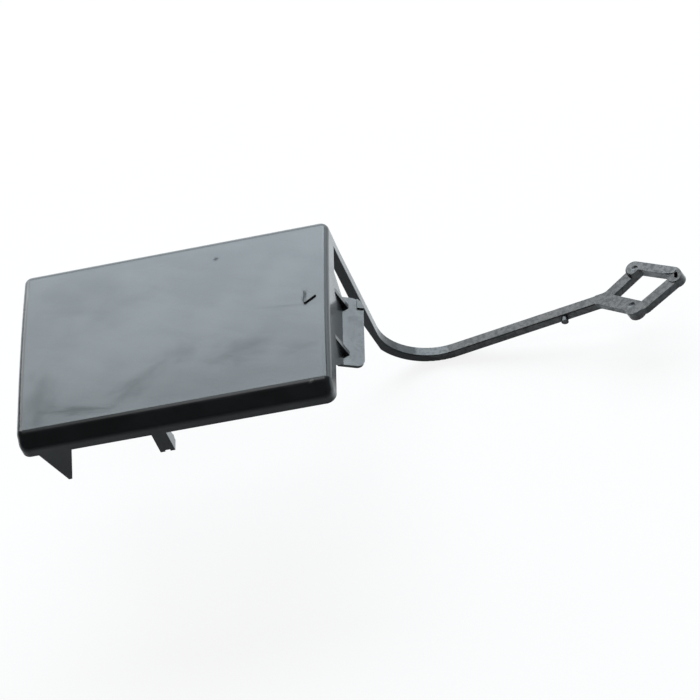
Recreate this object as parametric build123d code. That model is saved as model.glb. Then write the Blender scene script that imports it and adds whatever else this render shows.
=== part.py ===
"""Tow hook cover for a car bumper: one injection-moulded piece of black plastic.

A shallow crowned cap closes the rectangular opening over the towing eye. A hinge tongue hooks behind the
opening's right edge, snap pegs hold the long edges, and a flexible tether ends in a diamond ring, so that
the cap stays with the car when it is levered out.

Frame: the origin is the centre of the opening, in the plane on which the cap's rim sits. +X runs to the
tongue and tether side, +Y up the cap, and +Z out of the bumper. Millimetres.
"""

import os
from math import acos, atan2, cos, degrees, radians, sin, sqrt, tan

from build123d import *

# Cap
cap_width = 84.0
cap_height = 55.0
left_flare = 0.9
side_depth = 6.0
crown_rise = 1.1
wall = 2.0
bevel_height = 3.5
bevel_drop = 3.4
corner_top = 2.2
corner_bottom = 2.6
edge_round = 2.0
least_round = 0.35

# Stiffening ribs inside the cap
rib_thickness = 1.2
rib_height = 1.2
rib_columns = 3
rib_rows = 1

# Raised arrow on the face
arrow_length = 3.6
arrow_height = 4.7
arrow_relief = 0.5
arrow_tip_inset = 2.8
arrow_rise = 2.25
arrow_corner = 0.35

# Tongue on the right wall
tongue_depth = 7.5
tongue_top = 11.8
tongue_bottom = -10.3
tongue_root_flare_top = 2.7
tongue_root_flare_bottom = 4.2
tongue_wall = 1.6
flange_reach = 5.7
flange_tilt = 27.0
flange_thickness = 1.0
flange_round_top = 3.6
flange_round_bottom = 2.2
flange_pad_relief = 0.5
flange_pad_reach = 1.8
flange_pad_height = 3.4
gusset_thickness = 1.2
gusset_reach = 1.5
gusset_heights = (8.8, -6.5)

# Snap pegs on the long walls
peg_width = 4.0
peg_thickness = 3.2
peg_reach = 8.0
peg_centre = -5.7
peg_notch_width = 1.4
peg_notch_depth = 0.6
peg_catch = 0.5
peg_catch_height = 1.6

# Guide fin on the bottom wall, near the left corner
fin_base = 8.9
fin_reach = 12.5
fin_thickness = 1.8
fin_centre = -33.8
fin_tip = 0.9

# Catch on the left wall
catch_width = 12.0
catch_thickness = 1.8
catch_reach = 7.0
catch_bead = 0.9
catch_bead_height = 2.2
catch_setback = 0.4

# Tether
tether_thickness = 2.7
tether_width = 2.9
tether_round = 0.3
tether_inset = 1.6
tether_root = 2.0
tether_straight = 2.2
tether_ease = 200.0
tether_lean = 1.45
tether_drop = 33.2
tether_bend = 14.3
tether_turn = 102.5
tether_run = 46.0
flat_above = 8.5
flat_turn = 27.0
gate_radius = 1.0
gate_height = 1.4
gate_along = 33.3

# Ring at the tether's end
window_near = 7.9
window_far = 9.1
window_width = 10.1
ring_centre_along = 56.4
ring_offset = -0.3
ring_thickness = 2.4
bar_width = 2.8
pad_width = 3.6
neck_round = 3.0
knob_radius = 2.4
knob_relief = 0.95
knob_place = (-1.3, 5.9)
tail_radius = 1.35
tail_relief = 0.45
tail_place = (9.6, 1.35)
bar_round = 0.5
boss_lower_radius = 2.75
boss_lower_depth = 3.2
boss_lower_place = (-2.55, -5.55)
boss_far_radius = 2.1
boss_far_depth = 2.7
boss_far_relief = 0.3
boss_far_place = (10.0, -0.3)
hole_length = 2.0
hole_width = 1.0
hole_depth = 1.5
hole_place = (10.5, -0.45)
dimple_radius = 2.0
dimple_depth = 0.25
dimple_upper_place = (-0.8, 5.6)
dimple_lower_place = (-2.9, -5.4)

# Places that follow from the sizes
half_width = cap_width / 2
half_height = cap_height / 2
crown_radius = (half_height**2 + crown_rise**2) / (2 * crown_rise)

# How far pieces of the moulding run into each other, and the share of an edge's direction along Z from
# which it runs down a corner
overlap = 1.0
upright = 0.8


def crown_z(y):
    """Height of the outer face above the rim plane: a circular arc across the cap's height."""
    return side_depth + crown_rise - crown_radius + sqrt(crown_radius**2 - y**2)


def cap_plan(inset):
    """Outline of the cap from the front, drawn in by inset. The left wall leans out towards the bottom."""
    plan = Polygon(
        (-half_width, half_height),
        (-half_width - left_flare, -half_height),
        (half_width, -half_height),
        (half_width, half_height),
        align=None,
    )
    if inset > 0:
        plan = offset(plan, -inset, kind=Kind.INTERSECTION)
    upper = plan.vertices().sort_by(Axis.Y)[-2:]
    plan = fillet(upper, max(corner_top - inset, least_round))
    lower = plan.vertices().sort_by(Axis.Y)[:2]
    return fillet(lower, max(corner_bottom - inset, least_round))


def cap_section(inset, floor):
    """Side view of the cap: bottom wall, bevel, crowned face and top wall, drawn in by inset."""
    slope = bevel_drop / bevel_height
    bevel_top = crown_z(-half_height + bevel_height)
    bevel_foot = bevel_top - bevel_drop - inset * (sqrt(1 + slope**2) - slope)
    # the inner bevel meets the inner face where both heights agree
    corner = (bevel_top - inset - bevel_foot) / slope - half_height + inset
    bottom = -half_height + inset
    top = half_height - inset
    outline = Polyline(
        (corner, crown_z(corner) - inset),
        (bottom, bevel_foot),
        (bottom, floor),
        (top, floor),
        (top, crown_z(top) - inset),
    )
    middle = (corner + top) / 2
    crown = ThreePointArc(
        (top, crown_z(top) - inset),
        (middle, crown_z(middle) - inset),
        (corner, crown_z(corner) - inset),
    )
    return Plane.YZ * make_face(outline + crown)


def cap_block(inset, floor):
    """The cap's outer form, or with an inset the space inside it."""
    tall = side_depth + crown_rise + overlap
    prism = Pos(0, 0, floor) * extrude(cap_plan(inset), tall - floor)
    return prism & extrude(cap_section(inset, floor), cap_width, both=True)


def cap():
    """Crowned shell with rounded front edges and a low grid of ribs behind the face."""
    block = cap_block(0, 0)
    raised = block.edges().filter_by(lambda e: e.center().Z > bevel_drop / 2)
    block = fillet(raised.filter_by(lambda e: abs(e.tangent_at(0.5).Z) < upright), edge_round)
    hollow = cap_block(wall, -overlap)
    skin = hollow - Pos(0, 0, -rib_height) * hollow
    ribs = Part()
    tall = 2 * (side_depth + crown_rise)
    for i in range(rib_columns):
        x = cap_width * ((i + 1) / (rib_columns + 1) - 0.5)
        ribs += Pos(x, 0, 0) * Box(rib_thickness, cap_height, tall)
    for i in range(rib_rows):
        y = cap_height * ((i + 1) / (rib_rows + 1) - 0.5)
        ribs += Pos(0, y, 0) * Box(cap_width, rib_thickness, tall)
    return block - hollow + (skin & ribs)


def arrow():
    """Raised triangle near the right edge of the face. It points to the side that is pressed in."""
    tip = half_width - arrow_tip_inset
    outline = Polygon(
        (tip, arrow_rise),
        (tip - arrow_length, arrow_rise + arrow_height / 2),
        (tip - arrow_length, arrow_rise - arrow_height / 2),
        align=None,
    )
    outline = fillet(outline.vertices(), arrow_corner)
    base = crown_z(arrow_rise) - wall / 2
    relief = Pos(0, 0, base) * extrude(outline, wall / 2 + arrow_relief)
    top = relief.faces().sort_by(Axis.Z)[-1]
    return fillet(top.edges(), arrow_relief / 2)


def tongue():
    """Hinge tongue: a wall behind the rim, an outward flange tilted back, and two gussets between them."""
    root = Polygon(
        (tongue_bottom, overlap),
        (tongue_bottom, 0),
        (tongue_bottom - tongue_root_flare_bottom, 0),
        (tongue_bottom, -tongue_depth),
        (tongue_top, -tongue_depth),
        (tongue_top + tongue_root_flare_top, 0),
        (tongue_top, 0),
        (tongue_top, overlap),
        align=None,
    )
    root_wall = extrude(Plane.YZ.offset(half_width) * root, -tongue_wall)

    # flange outline: X runs outward from the crease, Y up the cap
    crease = Plane(
        origin=(half_width, 0, -tongue_depth),
        x_dir=(cos(radians(flange_tilt)), 0, -sin(radians(flange_tilt))),
        z_dir=(sin(radians(flange_tilt)), 0, cos(radians(flange_tilt))),
    )
    height = tongue_top - tongue_bottom
    middle = (tongue_top + tongue_bottom) / 2
    length = flange_reach + tongue_wall
    leaf = Pos(flange_reach - length / 2, middle) * Rectangle(length, height)
    outer = leaf.vertices().filter_by(lambda v: v.X > 0).sort_by(Axis.Y)
    leaf = fillet(outer[1], flange_round_top)
    low = leaf.vertices().filter_by(lambda v: v.X > 0).sort_by(Axis.Y)[0]
    leaf = fillet(low, flange_round_bottom)
    pad = Pos(flange_reach - flange_pad_reach / 2, tongue_top - flange_pad_height / 2) * Rectangle(
        flange_pad_reach, flange_pad_height
    )
    flange = extrude(crease * leaf, -flange_thickness) + extrude(crease * (leaf & pad), flange_pad_relief)
    behind_crease = Pos(half_width - tongue_wall, middle, -tongue_depth) * Box(
        tongue_wall, height, 2 * tongue_depth, align=(Align.MAX, Align.CENTER, Align.CENTER)
    )

    gusset = Polygon(
        (half_width - overlap, 0),
        (half_width - overlap, -tongue_depth),
        (half_width + gusset_reach, -tongue_depth - gusset_reach * tan(radians(flange_tilt))),
        (half_width, 0),
        align=None,
    )
    gussets = Part()
    for y in gusset_heights:
        gussets += extrude(Plane.XZ.offset(-y) * gusset, gusset_thickness / 2, both=True)
    return root_wall + (flange - behind_crease) + gussets


def peg():
    """Square snap peg behind the bottom wall, flush outside, with a notched end and a catch inside."""
    body = Pos(peg_centre, -half_height, wall / 2) * Box(
        peg_width, peg_thickness, peg_reach + wall / 2, align=(Align.CENTER, Align.MIN, Align.MAX)
    )
    notch = Pos(peg_centre, -half_height, -peg_reach) * Box(
        peg_notch_width, 2 * peg_thickness, 2 * peg_notch_depth
    )
    catch = Polygon(
        (-half_height + peg_thickness, -peg_reach + peg_catch_height / 2),
        (-half_height + peg_thickness + peg_catch, -peg_reach + peg_catch_height),
        (-half_height + peg_thickness, -peg_reach + 2 * peg_catch_height),
        (-half_height + peg_thickness - overlap, -peg_reach + peg_catch_height),
        align=None,
    )
    return body - notch + extrude(Plane.YZ.offset(peg_centre) * catch, peg_width / 2, both=True)


def fin():
    """Pointed guide fin in line with the bottom wall. It steers the cap into the opening."""
    outline = Polygon(
        (fin_centre - fin_base / 2, wall / 2),
        (fin_centre - fin_base / 2, 0),
        (fin_centre - fin_tip / 2, -fin_reach),
        (fin_centre + fin_tip / 2, -fin_reach),
        (fin_centre + fin_base / 2, 0),
        (fin_centre + fin_base / 2, wall / 2),
        align=None,
    )
    return extrude(Plane.XZ.offset(half_height) * outline, -fin_thickness)


def catch():
    """Springy catch inside the left wall, with an outward bead that snaps behind the opening's edge."""
    outer = -half_width + catch_setback
    outline = Polygon(
        (outer, wall),
        (outer, -catch_reach + 2 * catch_bead_height),
        (outer - catch_bead, -catch_reach + catch_bead_height),
        (outer, -catch_reach),
        (outer + catch_thickness, -catch_reach),
        (outer + catch_thickness, wall),
        align=None,
    )
    return extrude(Plane.XZ * outline, catch_width / 2, both=True)


# Tether centreline: straight back from the rim's upper right corner, easing into a slight outward lean,
# then round the bend and out to the ring
tether_x = half_width - tether_thickness / 2
tether_y = half_height - tether_inset - tether_width / 2
bend_radius = tether_bend + tether_thickness / 2


def heading(turned):
    """Direction of the tether once it has turned by so many degrees from straight back."""
    return Vector(sin(radians(turned)), 0, -cos(radians(turned)))


def arc_point(start, turned_before, turned, radius):
    """Point of an arc of the route that starts at start, where the tether has turned by so many degrees."""
    return start + heading(turned_before + 90) * radius - heading(turned + 90) * radius


ease_start = Vector(tether_x, tether_y, -tether_straight)
ease_end = arc_point(ease_start, 0, tether_lean, tether_ease)
bend_start = ease_end + heading(tether_lean) * tether_drop
bend_end = arc_point(bend_start, tether_lean, tether_turn, bend_radius)
run = heading(tether_turn)
front = heading(tether_turn + 90)
ring_plane = Plane(origin=bend_end + front * (tether_thickness / 2), x_dir=run, z_dir=front)


def tether():
    """Square strap swept along its route, with a flat outside the bend and the gate's nub under the run."""
    root = Vector(tether_x, tether_y, tether_root)
    ease_middle = arc_point(ease_start, 0, tether_lean / 2, tether_ease)
    bend_middle = arc_point(bend_start, tether_lean, (tether_lean + tether_turn) / 2, bend_radius)
    route = Line(root, ease_start) + ThreePointArc(ease_start, ease_middle, ease_end)
    route += Line(ease_end, bend_start) + ThreePointArc(bend_start, bend_middle, bend_end)
    route += Line(bend_end, bend_end + run * tether_run)
    section = RectangleRounded(tether_thickness, tether_width, tether_round)
    strap = sweep(Plane(origin=root, x_dir=(1, 0, 0), z_dir=(0, 0, -1)) * section, path=route)
    # the flat runs from a little above the bend to where the bend has turned by flat_turn
    outward = heading(tether_lean + 90) * (-tether_thickness / 2)
    flat_start = bend_start - heading(tether_lean) * flat_above + outward
    flat_end = arc_point(bend_start + outward, tether_lean, flat_turn, bend_radius + tether_thickness / 2)
    away = heading(tether_lean + 90) * (-tether_thickness)
    corners = [flat_start, flat_start + away, flat_end + away, flat_end]
    wedge = Plane.XZ * Polygon(*[(corner.X, corner.Z) for corner in corners], align=None)
    strap -= Pos(0, tether_y, 0) * extrude(wedge, tether_width, both=True)
    gate_place = ring_plane * Pos(gate_along, -tether_width / 2, -tether_thickness / 2) * Rot(90, 0, 0)
    gate_reach = gate_height + tether_width / 2
    gate = Cylinder(gate_radius, gate_reach, align=(Align.CENTER, Align.CENTER, Align.MIN))
    return strap + gate_place * Pos(0, 0, gate_height - gate_reach) * gate


def window():
    """Diamond window of the ring. Its upper and lower corners lie a little nearer to the strap."""
    half = window_width / 2
    return Polygon((window_far, 0), (0, half), (-window_near, 0), (0, -half), align=None)


def ring_plate():
    """Flat outline of the ring: a diamond round its window, a lower boss and a flared neck to the strap."""
    plate = offset(window(), bar_width, kind=Kind.ARC)
    # the near lower bar is wider: a strip drawn out square to the window's side
    low = -window_width / 2
    angle = atan2(-low, window_near)
    out_x = -pad_width * sin(angle)
    out_y = -pad_width * cos(angle)
    outer_near = (out_x - window_near, out_y)
    outer_low = (out_x, low + out_y)
    plate += Polygon((-window_near, 0), outer_near, outer_low, (0, low), align=None)
    neck_start = tether_run - ring_centre_along - neck_round
    neck_length = -window_near - neck_start
    plate += Pos(neck_start + neck_length / 2, -ring_offset) * Rectangle(neck_length, tether_width)
    # growing the outline and drawing it back rounds its hollow corners
    plate = offset(plate, neck_round, kind=Kind.INTERSECTION)
    plate = offset(plate, -neck_round, kind=Kind.ARC)
    plate += Pos(*boss_lower_place) * Circle(boss_lower_radius)
    return plate - window()


def raised_bar():
    """Raised bar along the ring's far upper side, from a round knob to a lower and narrower tail."""
    along = tail_place[0] - knob_place[0]
    across = tail_place[1] - knob_place[1]
    length = sqrt(along**2 + across**2)
    slope = atan2(knob_relief - tail_relief, length)
    # both sides touch the knob's and the tail's circles, at this angle from the bar's length
    spread = acos((knob_radius - tail_radius) / length)
    knob_side = (knob_radius * cos(spread), knob_radius * sin(spread))
    tail_side = (length + tail_radius * cos(spread), tail_radius * sin(spread))
    side = Line(knob_side, tail_side)
    tail_arc = ThreePointArc(tail_side, (length + tail_radius, 0), (tail_side[0], -tail_side[1]))
    knob_arc = ThreePointArc((knob_side[0], -knob_side[1]), (-knob_radius, 0), knob_side)
    outline = make_face(side + tail_arc + mirror(side, about=Plane.XZ) + knob_arc)
    bar = extrude(outline, -knob_relief - overlap)
    bar = fillet(bar.faces().sort_by(Axis.Z)[-1].edges(), bar_round)
    turned = Rot(0, 0, degrees(atan2(across, along))) * Rot(0, degrees(slope), 0)
    return Pos(*knob_place, knob_relief) * turned * bar


def ring():
    """Diamond ring on the tether's end, with a raised bar, two dimples and a blind slot."""
    body = extrude(ring_plate(), -ring_thickness) + raised_bar()
    body += Pos(*boss_lower_place) * extrude(Circle(boss_lower_radius), -boss_lower_depth)
    body += Pos(*boss_far_place, boss_far_relief) * extrude(
        Circle(boss_far_radius), -boss_far_relief - boss_far_depth
    )
    body -= extrude(window(), boss_lower_depth + boss_far_depth, both=True)
    slot = Rot(0, 0, 90) * SlotOverall(hole_length, hole_width)
    body -= Pos(*hole_place, boss_far_relief) * extrude(slot, -hole_depth)
    dimple_lift = dimple_radius - dimple_depth
    body -= Pos(*dimple_lower_place, dimple_lift) * Sphere(dimple_radius)
    body -= Pos(*dimple_upper_place, knob_relief + dimple_lift) * Sphere(dimple_radius)
    return ring_plane * Pos(ring_centre_along, ring_offset, 0) * body


bottom_peg = peg()
top_peg = mirror(bottom_peg, about=Plane.XZ)
cover = cap() + arrow() + tongue() + bottom_peg + top_peg + fin() + catch() + tether() + ring()

os.makedirs("parts", exist_ok=True)
export_step(cover, "parts/tow_hook_cover.step")
print("solids", len(cover.solids()), "volume", round(cover.volume, 1))
print("box", cover.bounding_box())
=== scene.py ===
# %% [markdown]
# # The looks of a bumper tow hook cover
#
# The real cover is one injection moulding of black plastic. Its shape comes ready from the imported model, so
# this lesson is about what a mould and a few years of use leave on such a surface: a satin gloss that mirrors
# a soft light, a fine grain, wiped smudges, dust that lies on the faces that look up, and edges rubbed pale.
# Some
# of it is painted light: the pale edges are partly a painted highlight, and painted shade darkens a line
# beside the arrow and the faces that look down.
# Black plastic shows almost nothing of its own colour. What the eye reads as its shape is what it reflects,
# so the lamps are placed as carefully as the finish is made.

import bpy
import numpy as np
from mathutils import Matrix, Quaternion, Vector


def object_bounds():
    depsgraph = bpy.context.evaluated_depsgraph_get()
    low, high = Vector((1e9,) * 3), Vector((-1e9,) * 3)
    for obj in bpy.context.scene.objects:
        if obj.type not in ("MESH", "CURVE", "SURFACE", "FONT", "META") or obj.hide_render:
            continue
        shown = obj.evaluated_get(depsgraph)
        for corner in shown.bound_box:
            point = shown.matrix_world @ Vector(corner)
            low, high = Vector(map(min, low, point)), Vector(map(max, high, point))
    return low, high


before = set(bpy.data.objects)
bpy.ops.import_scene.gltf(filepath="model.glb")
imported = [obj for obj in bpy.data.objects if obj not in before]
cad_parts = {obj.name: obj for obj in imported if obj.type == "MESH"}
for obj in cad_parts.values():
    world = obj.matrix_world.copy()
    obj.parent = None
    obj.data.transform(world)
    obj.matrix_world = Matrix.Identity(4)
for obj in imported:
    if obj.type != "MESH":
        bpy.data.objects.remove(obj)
cad_box = [list(corner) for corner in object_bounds()]
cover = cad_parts["tow_hook_cover"]
mm = 0.001
print("cover box in mm", [[round(x / mm, 1) for x in corner] for corner in cad_box])

# %% [markdown]
# ## The camera
#
# A long lens from a metre away keeps the cap's edges nearly parallel, as in a product picture. The camera
# looks down on the face at about fifty degrees, and it is rolled, so that the cap's long side climbs across
# the picture. It could be placed by three angles, but a place, a point to look at and a roll are easier to
# read.

# %% The camera
camera_place = Vector((0.26284, -0.65033, 0.82647))
camera_aim = Vector((0.04578, -0.01180, 0.0))
camera_roll = np.radians(-25.107)
sensor_width = 36.0
focal_length = 213.16

forward = (camera_aim - camera_place).normalized()
level = forward.cross(Vector((0, 0, 1))).normalized()
upward = level.cross(forward)
right = level * np.cos(camera_roll) + upward * np.sin(camera_roll)
up = right.cross(forward)

camera_data = bpy.data.cameras.new("camera")
camera_data.sensor_width = sensor_width
camera_data.lens = focal_length
camera = bpy.data.objects.new("camera", camera_data)
camera.matrix_world = Matrix.Translation(camera_place) @ Matrix((right, up, -forward)).transposed().to_4x4()
bpy.context.scene.collection.objects.link(camera)
bpy.context.scene.camera = camera
print("camera is", round((camera_aim - camera_place).length, 3), "m from the point it looks at")

# %% [markdown]
# ## The light
#
# Each face of a glossy black part is as bright as the lamp that it mirrors. The flat face mirrors a patch of
# sky half way up behind it, and the tongue one further right and lower, so the large softbox hangs between
# them and is rolled to reach both. The rounded top and right edges turn away from it and mirror what stands
# lower, so a wide and dimmer cloth closes the gap down to the table, and the edges get a soft grey band in
# place of a black line. Both have the faint blue of daylight, which gives the black face its cool grey. The
# ring at the tether's end looks further left, to a small and neutral softbox of its own. The bevel and the
# near walls mirror the camera's side, which has no lamp and stays dark. A weak cloth overhead, which nothing
# mirrors in this view, only fills the table's light. Many small lamps would cut the reflections into spots.

# %% A softbox
middle = Vector((0.04, 0.0, -0.02))
neutral = (1.0, 1.0, 1.0)
daylight = (0.84, 0.94, 1.0)


def softbox(name, azimuth, elevation, distance, size, radiance, roll=0.0, colour=neutral):
    """A rectangular lamp that looks at the middle of the part, with its angles in degrees.

    The azimuth is counted from +Y towards +X. Power = radiance x pi x area, as for any glowing cloth.
    """
    data = bpy.data.lights.new(name, "AREA")
    data.shape = "RECTANGLE"
    data.size = size[0]
    data.size_y = size[1]
    data.energy = radiance * np.pi * size[0] * size[1]
    data.color = colour
    lamp = bpy.data.objects.new(name, data)
    turn, rise = np.radians(azimuth), np.radians(elevation)
    back = Vector((np.sin(turn) * np.cos(rise), np.cos(turn) * np.cos(rise), np.sin(rise)))
    lamp.location = middle + back * distance
    lamp.rotation_euler = (back.to_track_quat("Z", "Y") @ Quaternion((0, 0, 1), np.radians(roll))).to_euler()
    lamp.visible_camera = False
    bpy.context.scene.collection.objects.link(lamp)
    print(name, "gives", round(data.energy, 1), "W")
    return lamp


# %% The lamps and the dim room
softbox("sky_softbox", 9.5, 47.5, 2.0, (2.1, 1.06), 5.35, roll=15.0, colour=daylight)
softbox("left_softbox", -44.0, 33.0, 2.0, (0.8, 1.0), 3.0)
softbox("low_cloth", 5.0, 20.0, 1.7, (5.0, 1.2), 2.0, colour=daylight)
softbox("overhead_cloth", 0.0, 90.0, 2.0, (1.2, 1.2), 1.6)

room_glow = 0.05
world = bpy.data.worlds.new("dim_room")
world.use_nodes = True
world.node_tree.nodes["Background"].inputs["Color"].default_value = (room_glow, room_glow, room_glow, 1.0)
bpy.context.scene.world = world
bpy.context.scene.view_settings.view_transform = "Standard"

# %% [markdown]
# ## A few words for node trees
#
# A material in code soon drowns in lines that make one node and one link. Eight short helpers keep the sums
# readable: a node with its numbers and links, a step of arithmetic on numbers or on vectors, a turn about Z,
# a sum of masks with their shares, a soft threshold, a blend of colours, and noise of a known size.


# %% Helpers for nodes and arithmetic
def node(tree, kind, values=(), **settings):
    """A node. Settings come first, because some make the sockets that the values then go into."""
    made = tree.nodes.new(kind)
    for name, setting in settings.items():
        setattr(made, name, setting)
    for socket, value in dict(values).items():
        if isinstance(value, bpy.types.NodeSocket):
            tree.links.new(value, made.inputs[socket])
        else:
            made.inputs[socket].default_value = value
    return made


def calc(tree, operation, *values):
    """One step of arithmetic on links or plain numbers."""
    return node(tree, "ShaderNodeMath", dict(enumerate(values)), operation=operation).outputs[0]


def vector(tree, operation, *values, output="Vector"):
    """One step of arithmetic on places or directions. A length or a dot product comes out as Value."""
    return node(tree, "ShaderNodeVectorMath", dict(enumerate(values)), operation=operation).outputs[output]


def turned(tree, place, angle):
    """The place, turned about Z by an angle in radians."""
    sockets = {"Vector": place, "Angle": angle}
    return node(tree, "ShaderNodeVectorRotate", sockets, rotation_type="Z_AXIS").outputs[0]


# %% Helpers for masks and colours
def add_up(tree, start, *terms):
    """The start, plus each mask times its share."""
    total = start
    for mask, share in terms:
        total = calc(tree, "MULTIPLY_ADD", mask, share, total)
    return total


def soft_step(tree, value, low, high):
    """0 below low, 1 above high, and between them the smooth curve 3t^2 - 2t^3.

    With low above high, it is 1 below high and 0 above low.
    """
    sockets = {"Value": value, "From Min": low, "From Max": high}
    return node(tree, "ShaderNodeMapRange", sockets, interpolation_type="SMOOTHSTEP").outputs["Result"]


def blend(tree, share, first, second):
    """The first colour where the share is 0, and the second where it is 1."""
    return node(tree, "ShaderNodeMix", {0: share, 6: first, 7: second}, data_type="RGBA").outputs[2]


def noise(tree, place, size, detail=2.0):
    """Smooth noise about 0.5, whose lumps are as large as the size, in metres."""
    closer = calc(tree, "DIVIDE", 1.0, size)
    sockets = {"Vector": place, "Scale": closer, "Detail": detail, "Roughness": 0.55}
    return node(tree, "ShaderNodeTexNoise", sockets).outputs[0]


# %% [markdown]
# ## Effects as node groups
#
# The plastic and the table top are both fine-grained surfaces that get wiped, so each effect is a group with
# named inputs that any material can use with its own values. A group puts out only a mask or a height. What
# that does to colour and roughness is decided in the material, where it can be read in one place.


# %% Helpers for groups
FLOAT = "NodeSocketFloat"
VECTOR = "NodeSocketVector"


def new_group(name, made, **given):
    """An empty group: the name of the number that it makes, and each input with its kind of socket."""
    tree = bpy.data.node_groups.new(name, "ShaderNodeTree")
    for label, kind in given.items():
        tree.interface.new_socket(label, in_out="INPUT", socket_type=kind)
    tree.interface.new_socket(made, in_out="OUTPUT", socket_type=FLOAT)
    start = tree.nodes.new("NodeGroupInput").outputs
    end = tree.nodes.new("NodeGroupOutput").inputs[made]
    print("group", name, "takes", list(given))
    return tree, start, end


def effect(tree, group, **values):
    """The number that a group makes from these values, as one node of a material."""
    return node(tree, "ShaderNodeGroup", values, node_tree=group).outputs[0]


# %% [markdown]
# ### Mould grain
#
# A mould's steel is eroded or blasted where nobody looks, and the plastic copies its fine pits. A picture of
# grain would repeat and would need a way round every corner. Noise in the part's own space has neither fault,
# and two sizes of it keep the grain from looking even.


# %% Mould grain
def make_mould_grain():
    """Height = 2/3 noise at the pitch + 1/3 noise at four times the pitch."""
    tree, given, made = new_group("mould_grain", "Height", Place=VECTOR, Pitch=FLOAT)
    fine = noise(tree, given["Place"], given["Pitch"])
    broad = noise(tree, given["Place"], calc(tree, "MULTIPLY", given["Pitch"], 4.0))
    height = add_up(tree, calc(tree, "MULTIPLY", broad, 0.333), (fine, 0.667))
    tree.links.new(height, made)
    return tree


mould_grain = make_mould_grain()


# %% [markdown]
# ### Wiped film
#
# A cloth never takes all the dirt along. It leaves soft clouds, and streaks in the direction of its strokes.
# Clouds alone would look like smoke and streaks alone like brushed metal, so the film is a mix of the two.


# %% Wiped film
def make_wiped_film():
    """A thin film left by a cloth: clouds of the patch size, with streaks drawn out along the wiping turn.

    For the streaks, the turned place has its x squeezed to a fifth and its z dropped, and the noise is a
    fifth of the patch size, so each streak is a patch long and a fifth as wide. The mask is a soft step of
    2/3 clouds + 1/3 streaks.
    """
    tree, given, made = new_group("wiped_film", "Mask", Place=VECTOR, Patch=FLOAT, Turn=FLOAT)
    wiped = turned(tree, given["Place"], given["Turn"])
    squeezed = vector(tree, "MULTIPLY", wiped, (0.2, 1.0, 0.0))
    clouds = noise(tree, wiped, given["Patch"], detail=3.0)
    streaks = noise(tree, squeezed, calc(tree, "MULTIPLY", given["Patch"], 0.2), detail=3.0)
    both = add_up(tree, calc(tree, "MULTIPLY", streaks, 0.333), (clouds, 0.667))
    tree.links.new(soft_step(tree, both, 0.38, 0.64), made)
    return tree


wiped_film = make_wiped_film()


# %% [markdown]
# ### Settled dust
#
# Dust falls from above and stays where a surface is level. Which way the surface looks could be painted by
# hand, but the surface knows it already: the dot product of its direction with up is 1 where it is level.


# %% Settled dust
def make_settled_dust():
    """Dust lies where the surface looks up: mask = (facing . up)^3 x (clouds / 2 + specks).

    The clouds are thirty specks wide, and the specks are the highest crests of noise.
    """
    tree, given, made = new_group("settled_dust", "Mask", Place=VECTOR, Facing=VECTOR, Speck=FLOAT)
    looks_up = vector(tree, "DOT_PRODUCT", given["Facing"], (0.0, 0.0, 1.0), output="Value")
    lies = calc(tree, "POWER", calc(tree, "MAXIMUM", looks_up, 0.0), 3.0)
    clouds = noise(tree, given["Place"], calc(tree, "MULTIPLY", given["Speck"], 30.0))
    specks = soft_step(tree, noise(tree, given["Place"], given["Speck"]), 0.66, 0.74)
    amount = add_up(tree, specks, (clouds, 0.5))
    tree.links.new(calc(tree, "MULTIPLY", lies, amount), made)
    return tree


settled_dust = make_settled_dust()


# %% [markdown]
# ### Rubbed edges, with a painted highlight
#
# Handling rubs the sharpest places first and leaves them a little paler. That paleness is also a painted
# highlight:
# it stands in for the thin light line that a sharp edge catches. The edges could be found in the mesh, but
# the mesh is loose triangles. A Bevel node looks at the surface round each point instead, so it finds the
# edges however they are meshed.


# %% Rubbed edges, with a painted highlight
def make_edge_wear_and_highlight():
    """Edges, made pale for wear and as a painted highlight: the surface's direction is compared with the one
    that it would have if its edges were rounded.

    Mask = soft step of (1 - rounded . own), broken up by noise, so that the wear and the painted highlight
    come and go.
    """
    tree, given, made = new_group("edge_wear_and_highlight", "Mask", Place=VECTOR, Radius=FLOAT)
    rounded = node(tree, "ShaderNodeBevel", {"Radius": given["Radius"]}, samples=6).outputs[0]
    own = node(tree, "ShaderNodeNewGeometry").outputs["Normal"]
    agree = vector(tree, "DOT_PRODUCT", rounded, own, output="Value")
    edge = soft_step(tree, calc(tree, "SUBTRACT", 1.0, agree), 0.01, 0.25)
    worn = soft_step(tree, noise(tree, given["Place"], 2.0 * mm), 0.35, 0.65)
    tree.links.new(calc(tree, "MULTIPLY", edge, worn), made)
    return tree


edge_wear_and_highlight = make_edge_wear_and_highlight()


# %% [markdown]
# ### Fine scratches
#
# Grit in a cloth leaves hairlines that run nearly parallel in each stroke. They could be hundreds of thin
# curves. Noise that is drawn out to fifty times its width gives the same look with one noise a direction.


# %% Fine scratches
def make_fine_scratches():
    """Hairlines in two directions: only the highest crests of noise that is drawn out along each of them.

    The place is turned about Z, its x is squeezed to 1/50 and its z is dropped, so that a hairline is fifty
    times as long as it is wide and runs straight over a crowned face. Broad noise leaves them in patches.
    """
    tree, given, made = new_group("fine_scratches", "Mask", Place=VECTOR, Width=FLOAT)
    both = 0.0
    for turn in (0.35, -1.1):
        squeezed = vector(tree, "MULTIPLY", turned(tree, given["Place"], turn), (0.02, 1.0, 0.0))
        crests = soft_step(tree, noise(tree, squeezed, given["Width"]), 0.70, 0.76)
        both = calc(tree, "MAXIMUM", both, crests)
    where = soft_step(tree, noise(tree, given["Place"], 14.0 * mm), 0.45, 0.62)
    tree.links.new(calc(tree, "MULTIPLY", both, where), made)
    return tree


fine_scratches = make_fine_scratches()


# %% [markdown]
# ### Soft marks
#
# Fingers and splashes leave single smudges in places of their own, which noise can't be told to hit. So one
# smudge is a group that is placed by its centre, its turn and its half sizes, and a table lists where each
# one lies.


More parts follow.
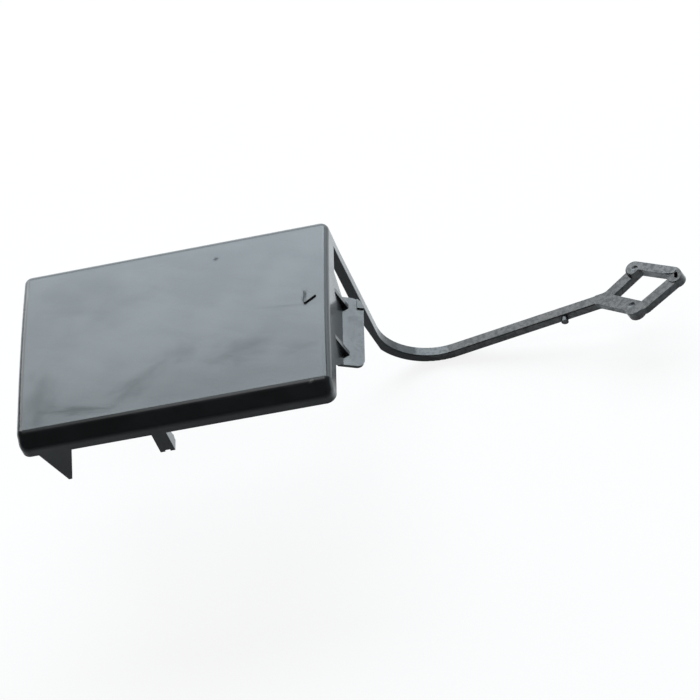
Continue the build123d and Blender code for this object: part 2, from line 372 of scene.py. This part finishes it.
# %% Soft marks
def make_soft_mark():
    """One smudge: an ellipse with a ragged, soft rim.

    The place is moved and turned into the mark's own frame and divided by its half sizes. Its length d,
    roughened by noise, is 0 at the middle and 1 at the rim, and mask = 1 - soft step of d.
    """
    inputs = {"Place": VECTOR, "Centre": VECTOR, "Turn": FLOAT, "Half": VECTOR}
    tree, given, made = new_group("soft_mark", "Mask", **inputs)
    moved = vector(tree, "SUBTRACT", given["Place"], given["Centre"])
    turned_back = turned(tree, moved, calc(tree, "MULTIPLY", given["Turn"], -1.0))
    local = vector(tree, "DIVIDE", turned_back, given["Half"])
    far = vector(tree, "LENGTH", local, output="Value")
    lumps = calc(tree, "SUBTRACT", noise(tree, local, 0.7, detail=4.0), 0.5)
    ragged = add_up(tree, far, (lumps, 2.4))
    tree.links.new(calc(tree, "SUBTRACT", 1.0, soft_step(tree, ragged, 0.1, 1.3)), made)
    return tree


soft_mark = make_soft_mark()

# %% [markdown]
# ## The table top
#
# The cover hangs in its own frame, as it sits in a bumper, so the white table top lies just under its lowest
# point, the bend of the tether. A grid worked out with numpy stands for it: a plane would do, but a grid is
# how any other surface would start too. It is laminate with a faint grain. What the camera sees is mixed with
# plain white, and reflections get a smaller share of it, so the background is white and still keeps the soft
# shadow.


# %% A surface from a grid
def grid_piece(name, points, material):
    """A mesh from a grid of points with the shape (rows, columns, 3). Each cell of the grid is one face."""
    rows, columns, _ = points.shape
    index = np.arange(rows * columns).reshape(rows, columns)
    quads = np.stack([index[:-1, :-1], index[:-1, 1:], index[1:, 1:], index[1:, :-1]], axis=-1).reshape(-1, 4)
    mesh = bpy.data.meshes.new(name)
    mesh.from_pydata(points.reshape(-1, 3).tolist(), [], quads.tolist())
    mesh.shade_smooth()
    mesh.materials.append(material)
    piece = bpy.data.objects.new(name, mesh)
    bpy.context.scene.collection.objects.link(piece)
    print(name, "has", len(mesh.polygons), "faces")
    return piece


# %% The white laminate
def white_laminate():
    """White laminate: grain in its height, a wiped film in its roughness, and a share of plain white."""
    material = bpy.data.materials.new("white_laminate")
    material.use_nodes = True
    tree = material.node_tree
    surface = tree.nodes["Principled BSDF"]
    place = node(tree, "ShaderNodeTexCoord").outputs["Object"]
    grain = effect(tree, mould_grain, Place=place, Pitch=0.8 * mm)
    film = effect(tree, wiped_film, Place=place, Patch=60 * mm, Turn=0.6)
    relief = node(tree, "ShaderNodeBump", {"Height": grain, "Distance": 0.02 * mm, "Strength": 0.5})
    surface.inputs["Base Color"].default_value = (0.92, 0.92, 0.92, 1.0)
    tree.links.new(add_up(tree, 0.6, (film, 0.1)), surface.inputs["Roughness"])
    tree.links.new(relief.outputs["Normal"], surface.inputs["Normal"])

    rays = node(tree, "ShaderNodeLightPath").outputs
    mirrored = calc(tree, "MAXIMUM", rays["Is Glossy Ray"], rays["Is Transmission Ray"])
    seen_share = calc(tree, "MULTIPLY", rays["Is Camera Ray"], 0.85)
    share = calc(tree, "MAXIMUM", seen_share, calc(tree, "MULTIPLY", mirrored, 0.2))
    white = node(tree, "ShaderNodeEmission").outputs["Emission"]
    mixed = node(tree, "ShaderNodeMixShader", {0: share, 1: surface.outputs["BSDF"], 2: white})
    tree.links.new(mixed.outputs["Shader"], tree.nodes["Material Output"].inputs["Surface"])
    return material


# %% The table top
top_gap = 0.2 * mm
top_reach = 4.0
grid_lines = np.linspace(-top_reach, top_reach, 9)
across, along = np.meshgrid(grid_lines, grid_lines)
top_points = np.stack([across, along, np.full_like(across, cad_box[0][2] - top_gap)], axis=-1)
grid_piece("table_top", top_points, white_laminate())

# %% [markdown]
# ## The plastic
#
# Polypropylene with carbon black hardly scatters any light, so its base colour is nearly nothing, and the
# look sits in roughness and relief. The show side is polished in the mould and the fitting side is left
# rougher, which is where the strap, the ring and the tongue get their duller, blotched gloss. Over that lie
# the marks of use: the film and the smudges dim the mirrored softbox, and dust and rubbed edges add a little
# pale colour. The pale edges are partly a painted highlight, and painted shade darkens a line beside the
# arrow and the faces that look down. A photograph on the surface would give the same smudges, but it would be
# stuck to one side and one light.
#
# The marks come first. They dim the gloss of the face where hands, cloths and splashes have been, and a few
# pale ones are scuffs. The dark line beside the arrow is painted shade along the arrow's raised edge.

# %% The marks of use
# Each mark is its centre in mm, its turn in degrees, its half sizes in mm and its strength. A mark reaches a
# metre through the part, so that the crown of the face doesn't change its outline.
mark_depth = 1.0
face_marks = {
    "palm smudge": ((19.0, -10.5), 8.0, (9.0, 4.0), 0.24),
    "finger smudge": ((3.0, -8.0), -12.0, (4.5, 3.4), 0.18),
    "wiped band": ((-9.0, -15.0), 34.0, (11.0, 3.2), 0.24),
    "dark streak": ((-25.5, -20.2), -9.0, (9.5, 1.5), 0.40),
    "corner smudge": ((-36.0, -15.0), 75.0, (10.0, 4.5), 0.28),
    "right smudge": ((34.5, -13.6), 5.0, (6.0, 3.0), 0.14),
    "low haze": ((-4.0, -20.5), 1.0, (50.0, 8.0), 0.10),
    "upper smudge": ((-15.0, 10.0), 20.0, (14.0, 5.0), 0.10),
    "left haze": ((-27.0, 12.0), 8.0, (20.0, 14.0), 0.12),
    "rub line": ((31.5, 0.6), -7.0, (9.0, 0.5), 0.18),
    "speck": ((11.7, 20.9), 0.0, (0.8, 0.6), 1.0),
    # Painted shade: a dark line that stands in for the shade along the arrow's raised left edge.
    "painted shade beside the arrow": ((35.9, 2.4), 0.0, (0.8, 2.5), 1.0),
}
pale_marks = {
    "corner streak": ((-36.5, 25.2), 5.0, (3.0, 0.4), 0.05),
    "edge nick": ((37.0, -24.0), 20.0, (0.9, 0.4), 0.30),
    "strap rub near": ((47.5, 14.0), 60.0, (1.2, 0.6), 0.10),
    "upper haze": ((-6.0, 21.5), 6.0, (12.0, 2.6), 0.012),
}


def marks(tree, place, table):
    """The sum of all marks in a table, each soft mask times its strength."""
    total = 0.0
    for centre, turn, half, strength in table.values():
        values = {
            "Place": place,
            "Centre": (centre[0] * mm, centre[1] * mm, 0.0),
            "Turn": np.radians(turn),
            "Half": (half[0] * mm, half[1] * mm, mark_depth),
        }
        total = add_up(tree, total, (effect(tree, soft_mark, **values), strength))
    print("placed", len(table), "marks")
    return total


# %% [markdown]
# ### Zones
#
# One moulding has one material, yet its finish differs from place to place, and the faces that look down are
# darkened with painted shade. The faces could be given separate materials, but the mould's polish and the
# painted shade fade out and don't stop at a face. So the material reads where a point lies and which way it
# looks, and makes soft masks from that.


# %% The zones of the cover
# Along X, from and to: where the polished cap ends, and where the tether hangs free.
cap_side = (42.6 * mm, 43.6 * mm)
free_tether = (46.0 * mm, 60.0 * mm)


def zones(tree, place, facing):
    """Three masks: what lies beside the cap, the free part of the tether, and the faces that look down.

    The faces that look down get a duller skin, a rougher body and less pale film, which is painted shade that
    keeps them dark. The strap and the ring hang free, and carry about a third as much.
    """
    x = node(tree, "ShaderNodeSeparateXYZ", {0: place}).outputs["X"]
    looks_up_cap = node(tree, "ShaderNodeSeparateXYZ", {0: facing}).outputs["Y"]
    beside_cap = soft_step(tree, x, *cap_side)
    far_off = soft_step(tree, x, *free_tether)
    # Faces that look down: this mask darkens them as painted shade.
    looks_down = soft_step(tree, looks_up_cap, -0.45, -0.85)
    dull_shaded_underside = calc(tree, "MULTIPLY", looks_down, add_up(tree, 1.0, (far_off, -0.65)))
    return beside_cap, far_off, dull_shaded_underside


# %% [markdown]
# ### The black moulding
#
# A glossy moulding reflects twice: sharply at its smooth skin and softly from the body below it. One
# roughness would give one or the other, so the skin is the shader's coat, and dirt takes from its weight, as
# does painted shade on the faces that look down and beside the arrow. The body stays at a roughness of 0.30
# or more.
# At 0.18 to 0.28 the renderer's noise filter drew a thin outline round patches of the film, and at 0.30 it
# draws none.

# %% The black moulding
plastic_colour = (0.007, 0.0072, 0.0075, 1.0)
film_colour = (0.10, 0.115, 0.13, 1.0)
# The pale edge colour is partly wear and partly a painted highlight along the sharp edges.
edge_wear_and_highlight_colour = (0.09, 0.095, 0.10, 1.0)
dust_colour = (0.36, 0.36, 0.34, 1.0)


def black_moulding():
    """Satin black plastic: a dull body under a polished skin.

    Coat weight is the skin's share, and dirt, smudges and the rougher fitting side take from it, and so does
    painted shade on the faces that look down and beside the arrow. Base colour, roughness and relief are the
    body's, each a short sum of the same masks. The pale colour on the edges is partly a painted highlight.
    """
    material = bpy.data.materials.new("black_moulding")
    material.use_nodes = True
    tree = material.node_tree
    surface = tree.nodes["Principled BSDF"]
    place = node(tree, "ShaderNodeTexCoord").outputs["Object"]
    facing = node(tree, "ShaderNodeNewGeometry").outputs["Normal"]
    beside_cap, far_off, dull_shaded_underside = zones(tree, place, facing)

    grain = effect(tree, mould_grain, Place=place, Pitch=0.35 * mm)
    blotches = soft_step(tree, effect(tree, mould_grain, Place=place, Pitch=0.9 * mm), 0.42, 0.60)
    film = effect(tree, wiped_film, Place=place, Patch=16 * mm, Turn=0.35)
    dust = effect(tree, settled_dust, Place=place, Facing=facing, Speck=0.3 * mm)
    edge_wear_and_highlight_mask = effect(tree, edge_wear_and_highlight, Place=place, Radius=0.25 * mm)
    hairlines = effect(tree, fine_scratches, Place=place, Width=0.16 * mm)
    dulled = marks(tree, place, face_marks)
    pale = marks(tree, place, pale_marks)

    # Less pale film on the faces that look down is painted shade.
    film_share = calc(tree, "MULTIPLY", film, add_up(tree, 0.12, (dull_shaded_underside, -0.10)))
    colour = blend(tree, film_share, plastic_colour, film_colour)
    # Pale colour on the edges: partly wear, partly a painted highlight.
    colour = blend(tree, calc(tree, "MULTIPLY", edge_wear_and_highlight_mask, 0.5), colour, edge_wear_and_highlight_colour)
    colour = blend(tree, add_up(tree, pale, (dust, 0.05)), colour, dust_colour)

    rough = add_up(tree, 0.30, (film, 0.07), (beside_cap, 0.04), (dull_shaded_underside, 0.20))

    blotch_share = add_up(tree, calc(tree, "MULTIPLY", beside_cap, 0.20), (far_off, 0.28))
    lost = add_up(tree, dulled, (film, 0.12), (dust, 0.10), (hairlines, 0.10))
    # The faces that look down lose most of their skin as painted shade.
    lost = add_up(tree, lost, (blotches, blotch_share), (dull_shaded_underside, 0.90))
    skin = calc(tree, "MAXIMUM", calc(tree, "SUBTRACT", 0.95, lost), 0.0)

    height = calc(tree, "MULTIPLY", grain, add_up(tree, 0.08, (beside_cap, 0.92)))
    relief = node(tree, "ShaderNodeBump", {"Height": height, "Distance": 0.03 * mm, "Strength": 0.6})

    tree.links.new(colour, surface.inputs["Base Color"])
    tree.links.new(rough, surface.inputs["Roughness"])
    tree.links.new(skin, surface.inputs["Coat Weight"])
    tree.links.new(relief.outputs["Normal"], surface.inputs["Normal"])
    surface.inputs["IOR"].default_value = 1.52
    surface.inputs["Specular IOR Level"].default_value = 0.3
    surface.inputs["Specular Tint"].default_value = (0.90, 0.96, 1.0, 1.0)
    surface.inputs["Coat IOR"].default_value = 1.5
    surface.inputs["Coat Roughness"].default_value = 0.14
    return material


cover.material_slots[0].material = black_moulding()
print("the cover wears", cover.material_slots[0].material.name)
